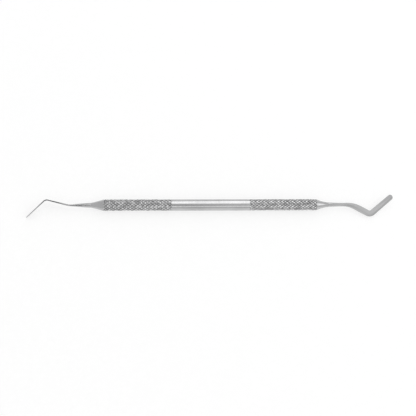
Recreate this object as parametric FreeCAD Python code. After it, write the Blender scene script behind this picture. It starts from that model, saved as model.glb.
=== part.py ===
import FreeCAD, Part
import math
import os

# A double-ended dental spatula that lies on a flat surface, in millimetres. X runs along the handle
# towards the end that is bent edgewise, Z is up, and the origin is the middle of the smooth band, on
# the handle's axis. Front is the end that is bent flatwise, side the one that is bent edgewise.

# Handle, turned from round bar
bar_diameter = 5.5
band_length = 38.0
front_grip_length = 32.2
side_grip_length = 33.0
front_cone_length = 6.0
side_cone_length = 6.15
front_cone_hollow = 0.05
side_cone_hollow = 0.16
side_collar_length = 1.4
side_collar_diameter = 4.56

# Diamond knurl of both grips
crest_diameter = 5.64
root_diameter = 5.0
diamonds_around = 12
diamond_length = 1.75

# Seat of each working end in the handle
neck_diameter = 2.3
spigot_diameter = 1.6
spigot_length = 10.0
spigot_bevel = 0.2
seat_clearance = 0.02
bore_run_out = 1.0
drill_point_angle = 118.0

# Shape of both working ends, at distances from their shoulder along the centreline
waist_distance = 6.8
waist_width = 1.82
thinning_distance = 11.0
thinned_thickness = 0.9
full_width_distance = 16.8
tip_thickness = 0.45
# how far the side edges bulge, as a share of half the thickness: at 1 they are half circles
neck_roundness = 0.98
blade_roundness = 0.7

# Spacing of the sections, in mm where the shank changes shape and in degrees round a bend
section_spacing = 1.0
section_turn = 9.0

# Front end; its runs are measured between the corners of its centreline, and its turns in degrees
front_neck_run = 10.5
front_shank_turn = 14.3
front_shank_radius = 12.0
front_shank_run = 11.15
front_knee_turn = -57.6
front_knee_radius = 2.2
front_blade_run = 12.5
front_blade_width = 3.05
front_tip_width = 2.95

# Side end, measured in the same way
side_neck_run = 11.75
side_shank_turn = -27.0
side_shank_radius = 15.0
side_shank_run = 10.6
side_elbow_turn = 66.3
side_elbow_radius = 2.3
side_blade_run = 14.5
side_blade_width = 3.1
side_tip_width = 2.8


def vector(x, y, z=0.0):
    return FreeCAD.Vector(x, y, z)


def line(*points):
    """Straight edges from each point to the next."""
    corners = [vector(*point) for point in points]
    return [Part.makeLine(start, end) for start, end in zip(corners, corners[1:])]


def eased(start, end, share):
    """A value that leaves start and reaches end without a corner, as share goes from 0 to 1."""
    share = min(max(share, 0.0), 1.0)
    return start + (end - start) * share * share * (3.0 - 2.0 * share)


def turned(edges):
    """Solid of revolution about X, from a chain of edges with both ends on the axis."""
    closing = Part.makeLine(edges[-1].Vertexes[-1].Point, edges[0].Vertexes[0].Point)
    return Part.Face(Part.Wire(edges + [closing])).revolve(vector(0, 0), vector(1, 0), 360)


def towards_front(shape):
    """Turn a shape that runs along +X to run along -X, with its Y kept."""
    return shape.rotated(vector(0, 0), vector(0, 1), 180)


# Handle. Each piece of it is made from X = 0 towards +X, and then put in its place.

def dished_line(start, end, hollow):
    """Side of a cone, dished towards the axis by hollow in the middle."""
    chord = end - start
    inward = vector(chord.y, -chord.x).normalize()
    return Part.Arc(start, (start + end) / 2 + inward * hollow, end).toShape()


def front_cone():
    """Taper from the grip down to the neck."""
    rim = vector(0, bar_diameter / 2)
    neck = vector(front_cone_length, neck_diameter / 2)
    side = dished_line(rim, neck, front_cone_hollow)
    return turned(line((0, 0), rim) + [side] + line(neck, (neck.x, 0)))


def side_cone():
    """Bevelled collar, then a dished taper down to the neck."""
    rim = vector(0, bar_diameter / 2)
    collar = vector(side_collar_length, side_collar_diameter / 2)
    neck = vector(side_cone_length, neck_diameter / 2)
    side = dished_line(collar, neck, side_cone_hollow)
    return turned(line((0, 0), rim, collar) + [side] + line(neck, (neck.x, 0)))


def spigot_bore():
    """Drilled hole that opens at X = 0 and runs towards -X."""
    radius = spigot_diameter / 2 + seat_clearance
    depth = spigot_length + bore_run_out
    point = radius / math.tan(math.radians(drill_point_angle / 2))
    return turned(line((-depth - point, 0), (-depth, radius), (0, radius), (0, 0)))


def knurl_points(length, rows, steps):
    """Crests where row + step is even, and crossings of two grooves where it is odd."""
    points = {}
    for row in range(rows + 1):
        for step in range(steps):
            if (row + step) % 2:
                radius = root_diameter / 2
            elif row in (0, rows):
                radius = bar_diameter / 2
            else:
                radius = crest_diameter / 2
            # half a step off the bottom, so that the grip lies on two rows of crests
            angle = 2 * math.pi * (step + 0.5) / steps - math.pi / 2
            points[row, step] = vector(
                length * row / rows, radius * math.cos(angle), radius * math.sin(angle))
    return points


def knurled_grip(length):
    """Round bar with two crossing sets of V grooves, which leave a pyramid on every diamond."""
    rows = 2 * round(length / diamond_length)
    steps = 2 * diamonds_around
    points = knurl_points(length, rows, steps)
    faces = []
    for (row, step), crest in points.items():
        if (row + step) % 2:
            continue
        for next_row in (row - 1, row + 1):
            for turn in (-1, 1):
                if 0 <= next_row <= rows:
                    side = points[row, (step + turn) % steps]
                    end = points[next_row, step]
                    faces.append(Part.Face(Part.makePolygon([crest, side, end, crest])))
    for row in (0, rows):
        ring = [points[row, step] for step in range(steps)]
        faces.append(Part.Face(Part.makePolygon(ring + ring[:1])))
    return Part.makeSolid(Part.makeShell(faces))


def handle():
    """One turned bar with two knurled grips, a taper at each end and a blind hole in each taper."""
    band_end = band_length / 2
    front_shoulder = band_end + front_grip_length + front_cone_length
    side_shoulder = band_end + side_grip_length + side_cone_length
    band = Part.makeCylinder(bar_diameter / 2, band_length, vector(-band_end, 0), vector(1, 0))
    body = band.fuse([
        towards_front(knurled_grip(front_grip_length).translated(vector(band_end, 0))),
        towards_front(front_cone().translated(vector(band_end + front_grip_length, 0))),
        knurled_grip(side_grip_length).translated(vector(band_end, 0)),
        side_cone().translated(vector(band_end + side_grip_length, 0)),
    ])
    bores = [
        towards_front(spigot_bore().translated(vector(front_shoulder, 0))),
        spigot_bore().translated(vector(side_shoulder, 0)),
    ]
    return body.cut(bores).removeSplitter()


# Working ends. Each is made with X leaving its shoulder and its bends in the XY plane.

def centreline(neck_run, shank_turn, shank_radius, shank_run, knee_turn, knee_radius, blade_run):
    """Length and turn of each straight or bent stretch, in mm and radians."""
    shank_turn = math.radians(shank_turn)
    knee_turn = math.radians(knee_turn)
    shank_tangent = shank_radius * math.tan(abs(shank_turn) / 2)
    knee_tangent = knee_radius * math.tan(abs(knee_turn) / 2)
    return [
        (neck_run - shank_tangent, 0.0),
        (shank_radius * abs(shank_turn), shank_turn),
        (shank_run - shank_tangent - knee_tangent, 0.0),
        (knee_radius * abs(knee_turn), knee_turn),
        (blade_run - knee_tangent, 0.0),
    ]


def front_centreline():
    """From the shoulder to the centre of the round tip."""
    return centreline(
        front_neck_run, front_shank_turn, front_shank_radius, front_shank_run,
        front_knee_turn, front_knee_radius, front_blade_run - front_tip_width / 2)


def side_centreline():
    """From the shoulder to the centre of the round tip."""
    return centreline(
        side_neck_run, side_shank_turn, side_shank_radius, side_shank_run,
        side_elbow_turn, side_elbow_radius, side_blade_run - side_tip_width / 2)


def place(stretches, distance):
    """Point and heading at a distance from the shoulder along the centreline."""
    point = vector(0, 0)
    heading = 0.0
    for length, turn in stretches:
        step = min(distance, length)
        half_turn = turn * step / length / 2
        chord = step * math.sin(half_turn) / half_turn if half_turn else step
        heading += half_turn
        point += vector(chord * math.cos(heading), chord * math.sin(heading))
        heading += half_turn
        distance -= step
    return point, heading


def stations(stretches):
    """Distances of the sections, from the shoulder to the centre of the round tip."""
    distances = [0.0]
    for length, turn in stretches:
        start = distances[-1]
        count = max(1, math.ceil(abs(math.degrees(turn)) / section_turn))
        if start < full_width_distance:
            count = max(count, math.ceil(length / section_spacing))
        distances += [start + length * (index + 1) / count for index in range(count)]
    return distances


def section_size(distance, tip_distance, blade_width, tip_width):
    """Half width, half thickness and bulge of the side edges at a distance from the shoulder."""
    if distance < waist_distance:
        width = eased(neck_diameter, waist_width, distance / waist_distance)
    elif distance < full_width_distance:
        share = (distance - waist_distance) / (full_width_distance - waist_distance)
        width = eased(waist_width, blade_width, share)
    else:
        share = (distance - full_width_distance) / (tip_distance - full_width_distance)
        width = blade_width + (tip_width - blade_width) * share
    if distance < thinning_distance:
        thickness = eased(neck_diameter, thinned_thickness, distance / thinning_distance)
    else:
        share = (distance - thinning_distance) / (tip_distance - thinning_distance)
        thickness = thinned_thickness + (tip_thickness - thinned_thickness) * share
    roundness = eased(neck_roundness, blade_roundness, distance / full_width_distance)
    return width / 2, thickness / 2, roundness * thickness / 2


def side_edge(centre, across, through, bulge):
    """Round edge of a section from its upper flat, round the end of across, to its lower flat."""
    corner = centre + across * (1 - bulge / across.Length)
    return Part.Arc(corner + through, centre + across, corner - through).toShape()


def section(centre, across, through, bulge):
    """Flat section with two round edges; across and through reach from its centre to its skin."""
    right = side_edge(centre, across, through, bulge)
    left = side_edge(centre, -across, -through, bulge)
    upper = Part.makeLine(left.Vertexes[-1].Point, right.Vertexes[0].Point)
    lower = Part.makeLine(right.Vertexes[-1].Point, left.Vertexes[0].Point)
    return Part.Wire([upper, right, lower, left])


def round_tip(centre, across, through, bulge):
    """Full round end of a blade: half of its last section, turned about the middle of the blade."""
    right = side_edge(centre, across, through, bulge)
    upper = Part.makeLine(centre + through, right.Vertexes[0].Point)
    lower = Part.makeLine(right.Vertexes[-1].Point, centre - through)
    middle = Part.makeLine(centre - through, centre + through)
    return Part.Face(Part.Wire([upper, right, lower, middle])).revolve(centre, through, 180)


def spigot():
    """Plain pin behind the shoulder, with a bevel to lead it into its bore."""
    radius = spigot_diameter / 2
    end = -spigot_length
    bevel = spigot_bevel
    return turned(line((end, 0), (end, radius - bevel), (end + bevel, radius), (0, radius), (0, 0)))


def working_end(stretches, blade_width, tip_width, flats_face):
    """Spigot, shank and blade; flats_face gives the way the flats face at a heading."""
    distances = stations(stretches)
    tip_distance = distances[-1]
    sections = []
    for distance in distances:
        centre, heading = place(stretches, distance)
        half_width, half_thickness, bulge = section_size(distance, tip_distance, blade_width, tip_width)
        forward = vector(math.cos(heading), math.sin(heading))
        face = flats_face(heading)
        size = (centre, forward.cross(face) * half_width, face * half_thickness, bulge)
        sections.append(section(*size))
    shank = Part.makeLoft(sections, True, True)
    return shank.fuse([round_tip(*size), spigot()]).removeSplitter()


def front_working_end():
    """The end that is bent flatwise, so that its flats turn with the bends."""
    def flats_face(heading):
        return vector(-math.sin(heading), math.cos(heading))
    return working_end(front_centreline(), front_blade_width, front_tip_width, flats_face)


def side_working_end():
    """The end that is bent edgewise, so that its flats all face Z."""
    def flats_face(heading):
        return vector(0, 0, 1)
    return working_end(side_centreline(), side_blade_width, side_tip_width, flats_face)


def resting_roll():
    """Turn about X, in degrees, that lays the front blade's lower edge on the surface."""
    stretches = front_centreline()
    tip, heading = place(stretches, stations(stretches)[-1])
    axis_height = crest_diameter / 2 * math.cos(math.pi / diamonds_around / 2)
    level = 0.0
    steep = math.pi / 4
    for _ in range(40):
        roll = (level + steep) / 2
        edge = front_tip_width / 2 * math.hypot(math.sin(heading) * math.sin(roll), math.cos(roll))
        skin = tip_thickness / 2 * math.cos(heading) * math.sin(roll)
        if edge + skin - tip.y * math.sin(roll) < axis_height:
            level = roll
        else:
            steep = roll
    return math.degrees(roll)


def main():
    os.makedirs("parts", exist_ok=True)
    roll = resting_roll()
    band_end = band_length / 2
    front_shoulder = vector(band_end + front_grip_length + front_cone_length, 0)
    side_shoulder = vector(band_end + side_grip_length + side_cone_length, 0)
    front = towards_front(front_working_end().translated(front_shoulder))
    side = side_working_end().translated(side_shoulder)
    nodes = {
        "handle": handle(),
        "front_working_end": front.rotated(vector(0, 0), vector(1, 0), roll),
        "side_working_end": side.rotated(vector(0, 0), vector(1, 0), roll),
    }
    for name, shape in nodes.items():
        shape.exportStep("parts/" + name + ".step")


main()
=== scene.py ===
import math

import bmesh
import bpy
from mathutils import Matrix, Vector


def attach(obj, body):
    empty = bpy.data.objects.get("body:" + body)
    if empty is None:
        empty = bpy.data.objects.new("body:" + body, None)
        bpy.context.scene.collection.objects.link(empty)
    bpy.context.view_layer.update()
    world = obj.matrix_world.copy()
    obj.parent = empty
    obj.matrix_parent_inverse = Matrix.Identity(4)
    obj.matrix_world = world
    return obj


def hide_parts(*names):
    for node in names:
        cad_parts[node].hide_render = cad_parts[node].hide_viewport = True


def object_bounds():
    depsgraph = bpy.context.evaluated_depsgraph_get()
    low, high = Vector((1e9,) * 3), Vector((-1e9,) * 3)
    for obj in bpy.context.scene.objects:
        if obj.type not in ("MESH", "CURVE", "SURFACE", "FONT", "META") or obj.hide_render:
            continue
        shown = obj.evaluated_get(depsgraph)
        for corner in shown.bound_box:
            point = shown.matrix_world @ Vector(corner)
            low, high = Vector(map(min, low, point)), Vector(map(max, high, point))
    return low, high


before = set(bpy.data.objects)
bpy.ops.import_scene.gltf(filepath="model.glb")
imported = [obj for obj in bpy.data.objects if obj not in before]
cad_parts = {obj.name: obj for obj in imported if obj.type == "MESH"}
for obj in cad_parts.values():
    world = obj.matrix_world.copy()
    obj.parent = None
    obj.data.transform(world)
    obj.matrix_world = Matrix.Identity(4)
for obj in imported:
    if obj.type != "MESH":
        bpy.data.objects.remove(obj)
frame_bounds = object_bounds()

# A double-ended dental spatula of satin steel, lying on a white surface. Shapes are built in
# millimetres, in the frame of the part: X along the handle, Z up, origin mid-way along the handle.
MM = 0.001

# Handle
BAR_RADIUS = 2.75
BAND_END = 19.0
# length of each grip, and its rows of crests
FRONT_GRIP = (32.2, 36)
SIDE_GRIP = (33.0, 38)
DIAMONDS_AROUND = 12
CREST_RADIUS = 2.805
ROOT_RADIUS = 2.5
# share of a pyramid's height that is left under the flat worn on it
CREST_FLAT = 0.8
# share of the height over which a groove is rounded, and how strongly
GROOVE_SHARE = 0.2
GROOVE_ROUNDING = 0.9
# kept in place of a depth in the knurl where the steel is plain
OFF_THE_KNURL = -1.0
FRONT_SHOULDER = 57.2
FRONT_HOLLOW = 0.05
SIDE_SHOULDER = 58.15
SIDE_HOLLOW = 0.16
COLLAR_LENGTH = 1.4
COLLAR_RADIUS = 2.28
NECK_RADIUS = 1.15
BORE_RADIUS = 0.82
BORE_DEPTH = 11.0
DRILL_HALF_ANGLE = math.radians(59)
EDGE_BREAK = 0.04
HANDLE_CREASE = 25

# Working ends
SPIGOT_RADIUS = 0.8
SPIGOT_LENGTH = 10.0
SPIGOT_BEVEL = 0.2
WAIST_DISTANCE = 6.8
WAIST_WIDTH = 1.82
THINNING_DISTANCE = 11.0
THINNED_THICKNESS = 0.9
FULL_WIDTH_DISTANCE = 16.8
TIP_THICKNESS = 0.45
# bulge of the side edges as a share of the half thickness
NECK_ROUNDNESS = 0.98
BLADE_ROUNDNESS = 0.7
# side edges are flattest from THINNING_DISTANCE to here
SQUARE_DISTANCE = 20.0
SQUARE_POWER = 0.5
# keeps this finer skin inside that of the solid
INSET = 0.012
FRONT_BLADE_WIDTH = 3.05
FRONT_TIP_WIDTH = 2.95
SIDE_BLADE_WIDTH = 3.1
SIDE_TIP_WIDTH = 2.8
END_CREASE = 30
# turn about the handle at which the spatula rests
ROLL = math.radians(15.758)

# Fineness of the meshes
FACETS = 6
COLUMNS = 2 * DIAMONDS_AROUND * FACETS
TAPER_STEPS = 16
SECTIONS_A_MM = 4
DEGREES_A_SECTION = 2
# where the points of a flat stand, from its middle to its edge
FLAT_SHARES = (0.0, 0.5, 0.9, 0.97)
EDGE_STEPS = 24
TIP_STEPS = 32


def eased(start, end, share):
    """A value that leaves start and reaches end without a corner, as share goes from 0 to 1."""
    share = min(max(share, 0.0), 1.0)
    return start + (end - start) * share * share * (3.0 - 2.0 * share)


def strip(first, second):
    """Quads between two closed rows of point numbers."""
    pairs = list(zip(first, second))
    return [(a, b, d, c) for (a, c), (b, d) in zip(pairs, pairs[1:] + pairs[:1])]


def fan(row, centre):
    """Triangles from a closed row of point numbers to one point."""
    row = list(row)
    return [(a, b, centre) for a, b in zip(row, row[1:] + row[:1])]


def piece(name, points, faces, crease):
    """Object from points in mm, smooth except where faces meet at more than crease degrees."""
    mesh = bpy.data.meshes.new(name)
    mesh.from_pydata([Vector(point) * MM for point in points], [], faces)
    shell = bmesh.new()
    shell.from_mesh(mesh)
    bmesh.ops.recalc_face_normals(shell, faces=shell.faces)
    shell.to_mesh(mesh)
    shell.free()
    mesh.shade_smooth()
    mesh.set_sharp_from_angle(angle=math.radians(crease))
    made = bpy.data.objects.new(name, mesh)
    bpy.context.scene.collection.objects.link(made)
    return made


def blunted(height):
    """Height of a knurl with flats worn on its crests and slightly rounded grooves."""
    return min(height, CREST_FLAT) + GROOVE_ROUNDING * max(GROOVE_SHARE - height, 0.0) ** 2


def knurl_radius(row, step, rows):
    """Radius between two crossing sets of V grooves; a crest stands where row + step is even."""
    first = (row + step) / 2
    second = (row - step) / 2
    height = 1 - 2 * max(abs(first - round(first)), abs(second - round(second)))
    at_end = round(first) + round(second) in (0, rows)
    crest = BAR_RADIUS if at_end else CREST_RADIUS
    return ROOT_RADIUS + (crest - ROOT_RADIUS) * blunted(height) / blunted(1.0)


def grip_rings(length, rows, first_step, turn):
    """Rings of a grip, at distances from the middle of the handle."""
    rings = []
    for index in range(rows * FACETS + 1):
        row = index / FACETS
        steps = [first_step + turn * column / FACETS for column in range(COLUMNS)]
        radii = [knurl_radius(row, step, rows) for step in steps]
        rings.append((BAND_END + length * row / rows, radii))
    return rings


def dished_line(start, end, hollow):
    """Points after start along the side of a cone, dished by hollow in the middle."""
    start = Vector(start)
    chord = Vector(end) - start
    inward = Vector((chord.y, -chord.x)).normalized()
    shares = [step / TAPER_STEPS for step in range(1, TAPER_STEPS + 1)]
    return [start + chord * share + inward * 4 * hollow * share * (1 - share) for share in shares]


def plain_rings(profile):
    """Round rings from distances and radii."""
    return [(distance, [radius] * COLUMNS) for distance, radius in profile]


def neck_and_bore(shoulder):
    """Profile from the broken edge of a neck over its shoulder and down its bore."""
    return [
        (shoulder, NECK_RADIUS - EDGE_BREAK),
        (shoulder, BORE_RADIUS),
        (shoulder - BORE_DEPTH, BORE_RADIUS),
    ]


def front_half():
    """Rings from the band to the bottom of the front bore."""
    length, rows = FRONT_GRIP
    grip_end = BAND_END + length
    neck = (FRONT_SHOULDER - EDGE_BREAK, NECK_RADIUS)
    taper = dished_line((grip_end, BAR_RADIUS), neck, FRONT_HOLLOW)
    return (
        plain_rings([(BAND_END, BAR_RADIUS)])
        + grip_rings(length, rows, DIAMONDS_AROUND - 1, -1)
        + plain_rings([(grip_end, BAR_RADIUS)] + [tuple(point) for point in taper])
        + plain_rings(neck_and_bore(FRONT_SHOULDER)))


def side_half():
    """Rings from the band to the bottom of the side bore."""
    length, rows = SIDE_GRIP
    grip_end = BAND_END + length
    collar = (grip_end + COLLAR_LENGTH, COLLAR_RADIUS)
    taper = dished_line(collar, (SIDE_SHOULDER - EDGE_BREAK, NECK_RADIUS), SIDE_HOLLOW)
    return (
        plain_rings([(BAND_END, BAR_RADIUS)])
        + grip_rings(length, rows, 0, 1)
        + plain_rings([(grip_end, BAR_RADIUS), collar] + [tuple(point) for point in taper])
        + plain_rings(neck_and_bore(SIDE_SHOULDER)))


def split_level(quad, radii):
    """Two triangles that meet along the more level diagonal, so that crests and grooves are edges."""
    a, b, c, d = quad
    if abs(radii[a] - radii[c]) <= abs(radii[b] - radii[d]):
        return [(a, b, c), (a, c, d)]
    return [(a, b, d), (b, c, d)]


def bar_skin(rings):
    """Points and faces of the whole handle, from the bottom of one bore to that of the other."""
    points = []
    for x, radii in rings:
        for column, radius in enumerate(radii):
            angle = math.pi * (column / FACETS + 0.5) / DIAMONDS_AROUND - math.pi / 2
            points.append((x, radius * math.cos(angle), radius * math.sin(angle)))
    radii = [radius for ring in rings for radius in ring[1]]
    faces = []
    for start in range(0, len(points) - COLUMNS, COLUMNS):
        near = range(start, start + COLUMNS)
        far = range(start + COLUMNS, start + 2 * COLUMNS)
        for quad in strip(near, far):
            faces += split_level(quad, radii)
    drill_point = BORE_RADIUS / math.tan(DRILL_HALF_ANGLE)
    count = len(points)
    points.append((rings[0][0] + drill_point, 0, 0))
    points.append((rings[-1][0] - drill_point, 0, 0))
    faces += fan(range(COLUMNS), count)
    faces += fan(range(count - COLUMNS, count), count + 1)
    return points, faces


def groove_depths(rings):
    """How deep in the knurl each point of the skin lies, from 0 on a crest to 1 in a groove."""
    depths = []
    for _, radii in rings:
        knurled = min(radii) < max(radii)
        for radius in radii:
            share = (CREST_RADIUS - radius) / (CREST_RADIUS - ROOT_RADIUS)
            depths.append(share if knurled else OFF_THE_KNURL)
    return depths + [OFF_THE_KNURL, OFF_THE_KNURL]


def handle_bar():
    """The whole handle in one skin, with both knurled grips and both bores."""
    rings = [(-distance, radii) for distance, radii in reversed(front_half())] + side_half()
    points, faces = bar_skin(rings)
    made = piece("handle_bar", points, faces, HANDLE_CREASE)
    # the depth decides where the handle's material paints shade into the grooves and a highlight on
    # the crests
    groove = made.data.attributes.new("groove", "FLOAT", "POINT")
    groove.data.foreach_set("value", groove_depths(rings))
    return made


def centreline(neck_run, shank_turn, shank_radius, shank_run, knee_turn, knee_radius, blade_run):
    """Length and turn of each straight or bent stretch, in mm and radians."""
    shank_turn = math.radians(shank_turn)
    knee_turn = math.radians(knee_turn)
    shank_tangent = shank_radius * math.tan(abs(shank_turn) / 2)
    knee_tangent = knee_radius * math.tan(abs(knee_turn) / 2)
    return [
        (neck_run - shank_tangent, 0.0),
        (shank_radius * abs(shank_turn), shank_turn),
        (shank_run - shank_tangent - knee_tangent, 0.0),
        (knee_radius * abs(knee_turn), knee_turn),
        (blade_run - knee_tangent, 0.0),
    ]


def place(stretches, distance):
    """Point and heading at a distance from the shoulder along the centreline."""
    point = Vector((0, 0, 0))
    heading = 0.0
    for length, turn in stretches:
        step = min(distance, length)
        half_turn = turn * step / length / 2
        chord = step * math.sin(half_turn) / half_turn if half_turn else step
        heading += half_turn
        point += Vector((math.cos(heading), math.sin(heading), 0)) * chord
        heading += half_turn
        distance -= step
    return point + Vector((math.cos(heading), math.sin(heading), 0)) * distance, heading


def stations(stretches):
    """Distances of the sections, from the broken edge of the shoulder to the centre of the tip."""
    distances = [EDGE_BREAK]
    start = 0.0
    for length, turn in stretches:
        count = math.ceil(max(length * SECTIONS_A_MM, abs(math.degrees(turn)) / DEGREES_A_SECTION))
        distances += [start + length * (index + 1) / count for index in range(count)]
        start += length
    return distances


def section_size(distance, tip_distance, blade_width, tip_width):
    """Half width, half thickness, and bulge and power of the side edges, at a distance."""
    if distance < WAIST_DISTANCE:
        width = eased(2 * NECK_RADIUS, WAIST_WIDTH, distance / WAIST_DISTANCE)
    elif distance < FULL_WIDTH_DISTANCE:
        share = (distance - WAIST_DISTANCE) / (FULL_WIDTH_DISTANCE - WAIST_DISTANCE)
        width = eased(WAIST_WIDTH, blade_width, share)
    else:
        share = (distance - FULL_WIDTH_DISTANCE) / (tip_distance - FULL_WIDTH_DISTANCE)
        width = blade_width + (tip_width - blade_width) * share
    if distance < THINNING_DISTANCE:
        share = distance / THINNING_DISTANCE
        thickness = eased(2 * NECK_RADIUS, THINNED_THICKNESS, share)
    else:
        share = (distance - THINNING_DISTANCE) / (tip_distance - THINNING_DISTANCE)
        thickness = THINNED_THICKNESS + (TIP_THICKNESS - THINNED_THICKNESS) * share
    roundness = eased(NECK_ROUNDNESS, BLADE_ROUNDNESS, distance / FULL_WIDTH_DISTANCE)
    if distance < SQUARE_DISTANCE:
        power = eased(1.0, SQUARE_POWER, distance / THINNING_DISTANCE)
    else:
        share = (distance - SQUARE_DISTANCE) / (tip_distance - SQUARE_DISTANCE)
        power = eased(SQUARE_POWER, 1.0, share)
    half_thickness = thickness / 2 - INSET
    return width / 2 - INSET, half_thickness, roundness * half_thickness, power


def half_outline(half_width, half_thickness, bulge, power):
    """Offsets across and through, from the middle of the upper flat round to the lower one.

    A side edge is half an ellipse at power 1, and flatter with tighter corners below it.
    """
    flat = half_width - bulge
    upper_edge = []
    for step in range(EDGE_STEPS // 2 + 1):
        angle = math.pi * step / EDGE_STEPS
        reach = flat + bulge * math.sin(angle) ** power
        upper_edge.append((reach, half_thickness * max(math.cos(angle), 0.0) ** power))
    lower_edge = [(across, -through) for across, through in reversed(upper_edge[:-1])]
    edge = upper_edge + lower_edge
    upper = [(flat * share, half_thickness) for share in FLAT_SHARES]
    lower = [(across, -through) for across, through in reversed(upper)]
    return upper + edge + lower


def whole_outline(half):
    """Both halves of an outline."""
    return half + [(-across, through) for across, through in reversed(half[1:-1])]


def neck_outline():
    """Outline of the shoulder's broken edge, as nearly round as a section gets."""
    neck = NECK_RADIUS - EDGE_BREAK
    return whole_outline(half_outline(neck, neck, NECK_ROUNDNESS * neck, 1.0))


def spigot_rings():
    """Round outlines of the spigot, whose points stand in line with those of the shoulder."""
    bearings = [math.atan2(through, across) for across, through in neck_outline()]

    def round_outline(radius):
        return [(radius * math.cos(bearing), radius * math.sin(bearing)) for bearing in bearings]

    return [
        (-SPIGOT_LENGTH, round_outline(SPIGOT_RADIUS - SPIGOT_BEVEL)),
        (SPIGOT_BEVEL - SPIGOT_LENGTH, round_outline(SPIGOT_RADIUS)),
        (0.0, round_outline(SPIGOT_RADIUS)),
    ]


def round_tip(points, last, half, tip_distance):
    """Faces of the round end past the last outline; its points are added to those that are there."""
    middle = len(half) - 1
    meridians = [last[:middle + 1]]
    for step in range(1, TIP_STEPS):
        turn = math.pi * step / TIP_STEPS
        start = len(points)
        for reach, through in half[1:-1]:
            at = tip_distance + reach * math.sin(turn)
            points.append((at, reach * math.cos(turn), through))
        meridians.append([last[0]] + list(range(start, len(points))) + [last[middle]])
    meridians.append([last[0]] + last[:middle - 1:-1])
    faces = []
    for near, far in zip(meridians, meridians[1:]):
        faces.append((near[0], near[1], far[1]))
        faces += [(near[k], near[k + 1], far[k + 1], far[k]) for k in range(1, middle - 1)]
        faces.append((near[-2], near[-1], far[-2]))
    return faces


def straight_end(stretches, blade_width, tip_width):
    """Points and faces of a working end as if it were straight: distance, across and through."""
    distances = stations(stretches)
    tip_distance = distances[-1]
    sizes = [section_size(distance, tip_distance, blade_width, tip_width) for distance in distances]
    rings = spigot_rings() + [(0.0, neck_outline())]
    rings += [(at, whole_outline(half_outline(*size))) for at, size in zip(distances, sizes)]
    points = [(at, across, through) for at, outline in rings for across, through in outline]
    columns = len(rings[0][1])
    faces = []
    for start in range(0, len(points) - columns, columns):
        near = range(start, start + columns)
        far = range(start + columns, start + 2 * columns)
        faces += strip(near, far)
    last = list(range(len(points) - columns, len(points)))
    faces += round_tip(points, last, half_outline(*sizes[-1]), tip_distance)
    points.append((-SPIGOT_LENGTH, 0.0, 0.0))
    faces += fan(range(columns), len(points) - 1)
    return points, faces


def working_end(name, stretches, blade_width, tip_width, bent_flatwise, seat):
    """A working end, bent along its centreline and put in its seat."""
    points, faces = straight_end(stretches, blade_width, tip_width)
    bent = []
    for at, across, through in points:
        centre, heading = place(stretches, at)
        forward = Vector((math.cos(heading), math.sin(heading), 0))
        face = Vector((-forward.y, forward.x, 0)) if bent_flatwise else Vector((0, 0, 1))
        bent.append(seat @ (centre + forward.cross(face) * across + face * through))
    made = piece(name, bent, faces, END_CREASE)
    straight = made.data.attributes.new("straight", "FLOAT_VECTOR", "POINT")
    straight.data.foreach_set("vector", [value * MM for point in points for value in point])
    return made


def front_end():
    """The end that is bent flatwise."""
    stretches = centreline(
        neck_run=10.5, shank_turn=14.3, shank_radius=12.0, shank_run=11.15,
        knee_turn=-57.6, knee_radius=2.2, blade_run=12.5 - FRONT_TIP_WIDTH / 2 - INSET)
    seat = Matrix.Rotation(ROLL, 4, "X") @ Matrix.Rotation(math.pi, 4, "Y")
    seat = seat @ Matrix.Translation((FRONT_SHOULDER, 0, 0))
    return working_end("front_end", stretches, FRONT_BLADE_WIDTH, FRONT_TIP_WIDTH, True, seat)


def side_end():
    """The end that is bent edgewise."""
    stretches = centreline(
        neck_run=11.75, shank_turn=-27.0, shank_radius=15.0, shank_run=10.6,
        knee_turn=66.3, knee_radius=2.3, blade_run=14.5 - SIDE_TIP_WIDTH / 2 - INSET)
    seat = Matrix.Rotation(ROLL, 4, "X") @ Matrix.Translation((SIDE_SHOULDER, 0, 0))
    return working_end("side_end", stretches, SIDE_BLADE_WIDTH, SIDE_TIP_WIDTH, False, seat)


# Materials

# height of the fine lines on the steel, in metres
LINE_DEPTH = 1.0e-6
STEEL_ROUGHNESS = 0.22
ROUGHNESS_SPREAD = 0.04
# numbers of the sockets of a mix node that are for colours; their names aren't theirs alone
MIX_FACTOR = 0
MIX_FIRST = 6
MIX_SECOND = 7
MIX_RESULT = 2
# glow that keeps the surface white where the camera or the steel sees it
SURFACE_GLOW = 0.7


def new_material(name):
    """An empty node material and its tree."""
    made = bpy.data.materials.new(name)
    made.use_nodes = True
    made.node_tree.nodes.clear()
    return made, made.node_tree


def noise(tree, coordinates, stretch, detail):
    """Noise with stretch features a metre along each axis."""
    mapping = tree.nodes.new("ShaderNodeMapping")
    mapping.inputs["Scale"].default_value = stretch
    texture = tree.nodes.new("ShaderNodeTexNoise")
    texture.inputs["Scale"].default_value = 1.0
    texture.inputs["Detail"].default_value = detail
    tree.links.new(coordinates, mapping.inputs["Vector"])
    tree.links.new(mapping.outputs["Vector"], texture.inputs["Vector"])
    return texture.outputs["Fac"]


def mapped(tree, value, low, high, start=0.3, end=0.7):
    """Value spread from low to high between start and end, the middle of a noise's range."""
    made = tree.nodes.new("ShaderNodeMapRange")
    made.interpolation_type = "SMOOTHSTEP"
    made.inputs["From Min"].default_value = start
    made.inputs["From Max"].default_value = end
    made.inputs["To Min"].default_value = low
    made.inputs["To Max"].default_value = high
    tree.links.new(value, made.inputs["Value"])
    return made.outputs["Result"]


def tinted(tree, factor, start, end):
    """Colour between start and end."""
    ramp = tree.nodes.new("ShaderNodeValToRGB")
    ramp.color_ramp.elements[0].color = (*start, 1)
    ramp.color_ramp.elements[1].color = (*end, 1)
    tree.links.new(factor, ramp.inputs["Fac"])
    return ramp.outputs["Color"]


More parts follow.
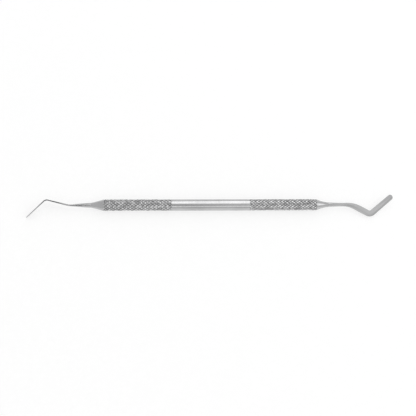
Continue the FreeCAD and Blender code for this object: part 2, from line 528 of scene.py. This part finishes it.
def blended(tree, factor, first, second):
    """Colour that goes from the first to the second as factor goes from 0 to 1."""
    mix = tree.nodes.new("ShaderNodeMix")
    mix.data_type = "RGBA"
    tree.links.new(factor, mix.inputs[MIX_FACTOR])
    tree.links.new(first, mix.inputs[MIX_FIRST])
    tree.links.new(second, mix.inputs[MIX_SECOND])
    return mix.outputs[MIX_RESULT]


def attribute(tree, name, output):
    """A value kept on the points of the mesh."""
    made = tree.nodes.new("ShaderNodeAttribute")
    made.attribute_name = name
    return made.outputs[output]


def steel(tree, coordinates, lines, streaks, shade, spread):
    """Principled shader and colour of satin steel with fine lines, its shade uneven in streaks."""
    fine = noise(tree, coordinates, lines, 3.0)
    broad = noise(tree, coordinates, streaks, 2.0)
    shader = tree.nodes.new("ShaderNodeBsdfPrincipled")
    shader.inputs["Metallic"].default_value = 1.0
    darker = [value * (1 - spread) for value in shade]
    lighter = [value * (1 + spread) for value in shade]
    colour = tinted(tree, mapped(tree, broad, 0.0, 1.0), darker, lighter)
    smoothest = STEEL_ROUGHNESS - ROUGHNESS_SPREAD
    roughest = STEEL_ROUGHNESS + ROUGHNESS_SPREAD
    tree.links.new(mapped(tree, fine, smoothest, roughest), shader.inputs["Roughness"])
    bump = tree.nodes.new("ShaderNodeBump")
    bump.inputs["Strength"].default_value = 1.0
    bump.inputs["Distance"].default_value = LINE_DEPTH
    tree.links.new(fine, bump.inputs["Height"])
    tree.links.new(bump.outputs["Normal"], shader.inputs["Normal"])
    output = tree.nodes.new("ShaderNodeOutputMaterial")
    tree.links.new(shader.outputs["BSDF"], output.inputs["Surface"])
    return shader, colour


def handle_steel():
    """Turned steel: fine rings round the bar; on the knurl, crests unevenly worn and lightened as a
    painted highlight, grooves darkened as painted shade.
    """
    made, tree = new_material("handle_steel")
    coordinates = tree.nodes.new("ShaderNodeTexCoord").outputs["Object"]
    lines = (9000, 200, 200)
    streaks = (160, 160, 160)
    shader, colour = steel(tree, coordinates, lines, streaks, shade=(0.52, 0.52, 0.525), spread=0.06)
    patches = noise(tree, coordinates, (1000, 1000, 1000), 1.0)
    wear = mapped(tree, patches, 0.0, 1.0, start=0.4, end=0.6)
    # painted highlight: crests are lighter than the plain steel, partly uneven wear and partly a
    # painted highlight
    crests = tinted(tree, wear, (0.44, 0.44, 0.445), (0.8, 0.8, 0.805))
    # painted shade: the grooves are near black, shade painted into the recesses of the knurl
    grooves = tinted(tree, wear, (0.11, 0.11, 0.111), (0.13, 0.13, 0.131))
    depth = attribute(tree, "groove", "Fac")
    # share of painted groove shade, rising with the depth in the knurl
    groove_shade_share = mapped(tree, depth, 0.0, 1.0, start=0.55, end=0.95)
    knurl = blended(tree, groove_shade_share, crests, grooves)
    on_knurl = mapped(tree, depth, 0.0, 1.0, start=OFF_THE_KNURL, end=0.0)
    whole = blended(tree, on_knurl, colour, knurl)
    tree.links.new(whole, shader.inputs["Base Color"])
    return made


def working_end_steel():
    """Ground steel: fine lines along the shank and blade, whichever way they bend."""
    made, tree = new_material("working_end_steel")
    coordinates = attribute(tree, "straight", "Vector")
    lines = (250, 9000, 9000)
    streaks = (60, 900, 900)
    shader, colour = steel(tree, coordinates, lines, streaks, shade=(0.57, 0.57, 0.575), spread=0.14)
    tree.links.new(colour, shader.inputs["Base Color"])
    return made


def larger(tree, first, second):
    """The larger of two values."""
    made = tree.nodes.new("ShaderNodeMath")
    made.operation = "MAXIMUM"
    tree.links.new(first, made.inputs[0])
    tree.links.new(second, made.inputs[1])
    return made.outputs["Value"]


def white_surface():
    """White surface that takes a soft shadow and stays white in the picture and in the steel."""
    made, tree = new_material("white_surface")
    light = tree.nodes.new("ShaderNodeLightPath")
    seen = larger(tree, light.outputs["Is Camera Ray"], light.outputs["Is Glossy Ray"])
    seen = larger(tree, seen, light.outputs["Is Transmission Ray"])
    coordinates = tree.nodes.new("ShaderNodeTexCoord").outputs["Object"]
    grain = mapped(tree, noise(tree, coordinates, (900, 900, 900), 2.0), 0.0, 1.0)
    colour = tinted(tree, grain, (0.35, 0.35, 0.35), (0.37, 0.37, 0.37))
    diffuse = tree.nodes.new("ShaderNodeBsdfDiffuse")
    tree.links.new(colour, diffuse.inputs["Color"])
    glow = tree.nodes.new("ShaderNodeEmission")
    share = tree.nodes.new("ShaderNodeMath")
    share.operation = "MULTIPLY"
    share.inputs[1].default_value = SURFACE_GLOW
    tree.links.new(seen, share.inputs[0])
    tree.links.new(share.outputs["Value"], glow.inputs["Strength"])
    both = tree.nodes.new("ShaderNodeAddShader")
    tree.links.new(diffuse.outputs["BSDF"], both.inputs[0])
    tree.links.new(glow.outputs["Emission"], both.inputs[1])
    output = tree.nodes.new("ShaderNodeOutputMaterial")
    tree.links.new(both.outputs["Shader"], output.inputs["Surface"])
    return made


def dark_cloth():
    """Dark, dull surface."""
    made, tree = new_material("dark_cloth")
    coordinates = tree.nodes.new("ShaderNodeTexCoord").outputs["Object"]
    weave = mapped(tree, noise(tree, coordinates, (600, 600, 600), 2.0), 0.0, 1.0)
    colour = tinted(tree, weave, (0.03, 0.03, 0.03), (0.05, 0.05, 0.05))
    diffuse = tree.nodes.new("ShaderNodeBsdfDiffuse")
    tree.links.new(colour, diffuse.inputs["Color"])
    output = tree.nodes.new("ShaderNodeOutputMaterial")
    tree.links.new(diffuse.outputs["BSDF"], output.inputs["Surface"])
    return made


# Object

steel_ends = working_end_steel()
for made, node, slot, finish in (
    (handle_bar(), "handle", "handle_steel", handle_steel()),
    (front_end(), "front_working_end", "working_end_steel", steel_ends),
    (side_end(), "side_working_end", "working_end_steel", steel_ends),
):
    made.data.materials.append(finish)
    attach(made, "root")
    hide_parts(node)

# Surface, camera and light. Right runs along the handle, up across it in the plane of the blades'
# bends, and out square to both.
right = Vector((1, 0, 0))
up = Vector((0, math.cos(ROLL), math.sin(ROLL)))
out = right.cross(up)


def panel(name, sides, radius, centre, facing, finish):
    """Flat regular shape that isn't part of the object."""
    turns = [math.tau * (side + 0.5) / sides for side in range(sides)]
    outline = [Vector((math.cos(turn), math.sin(turn), 0)) * radius for turn in turns]
    turned = facing.to_track_quat("Z", "Y")
    mesh = bpy.data.meshes.new(name)
    mesh.from_pydata([centre + turned @ corner for corner in outline], [], [range(sides)])
    mesh.materials.append(finish)
    made = bpy.data.objects.new(name, mesh)
    bpy.context.scene.collection.objects.link(made)
    return made


SURFACE_RADIUS = 6.0
floor_point = Vector((0, 0, frame_bounds[0].z))
panel("surface", 4, SURFACE_RADIUS, floor_point, Vector((0, 0, 1)), white_surface())

# Camera: square to the blades' bends but for a tilt towards the front end, and a slight lean
TILT = math.radians(7.5)
LEAN = math.radians(0.1375)
CAMERA_DISTANCE = 0.5
PICTURE_PIXELS = 416
towards = out * math.cos(TILT) - right * math.sin(TILT)
level = right * math.cos(TILT) + out * math.sin(TILT)
camera_right = level * math.cos(LEAN) - up * math.sin(LEAN)
camera_up = up * math.cos(LEAN) + level * math.sin(LEAN)

camera_data = bpy.data.cameras.new("camera")
camera_data.lens = 89.69
camera_data.sensor_width = 36.0
camera_data.shift_x = -2.3 / PICTURE_PIXELS
camera_data.shift_y = -3.04 / PICTURE_PIXELS
camera_data.clip_start = 0.01
camera = bpy.data.objects.new("camera", camera_data)
camera_turn = Matrix((camera_right, camera_up, towards)).transposed().to_4x4()
camera.matrix_world = Matrix.Translation(towards * CAMERA_DISTANCE) @ camera_turn
bpy.context.scene.collection.objects.link(camera)
bpy.context.scene.camera = camera

# Dark hood just behind the camera, which darkens what the front end and the handle reflect
HOOD_LEFT = math.radians(11.5)
HOOD_UP = math.radians(4)
HOOD_DISTANCE = 0.54
HOOD_RADIUS = 0.13
hood_way = (out - right * math.tan(HOOD_LEFT) + up * math.tan(HOOD_UP)).normalized()
hood = panel("hood", 48, HOOD_RADIUS, hood_way * HOOD_DISTANCE, hood_way, dark_cloth())
hood.visible_camera = False


def soft_light(name, along, above, width, height, level):
    """Soft box seen from the object at angles along the handle and above it, of an even level."""
    along = math.radians(along)
    above = math.radians(above)
    reach = right * math.sin(along) + (up * math.sin(above) + out * math.cos(above)) * math.cos(along)
    lamp = bpy.data.lights.new(name, "AREA")
    lamp.shape = "RECTANGLE"
    lamp.size = width
    lamp.size_y = height
    lamp.energy = level * math.pi * width * height
    made = bpy.data.objects.new(name, lamp)
    made.location = reach
    made.rotation_euler = reach.to_track_quat("Z", "Y").to_euler()
    made.visible_camera = False
    bpy.context.scene.collection.objects.link(made)


soft_light("back_light", along=8.5, above=55, width=0.3, height=1.0, level=1.18)
soft_light("side_light", along=57, above=10, width=0.6, height=0.6, level=0.8)
soft_light("front_light", along=0, above=-27, width=0.6, height=0.25, level=0.7)

ROOM_LEVEL = 0.73
world = bpy.data.worlds.new("room")
world.use_nodes = True
background = world.node_tree.nodes["Background"]
background.inputs["Color"].default_value = (ROOM_LEVEL, ROOM_LEVEL, ROOM_LEVEL, 1)
bpy.context.scene.world = world
bpy.context.scene.view_settings.view_transform = "Standard"
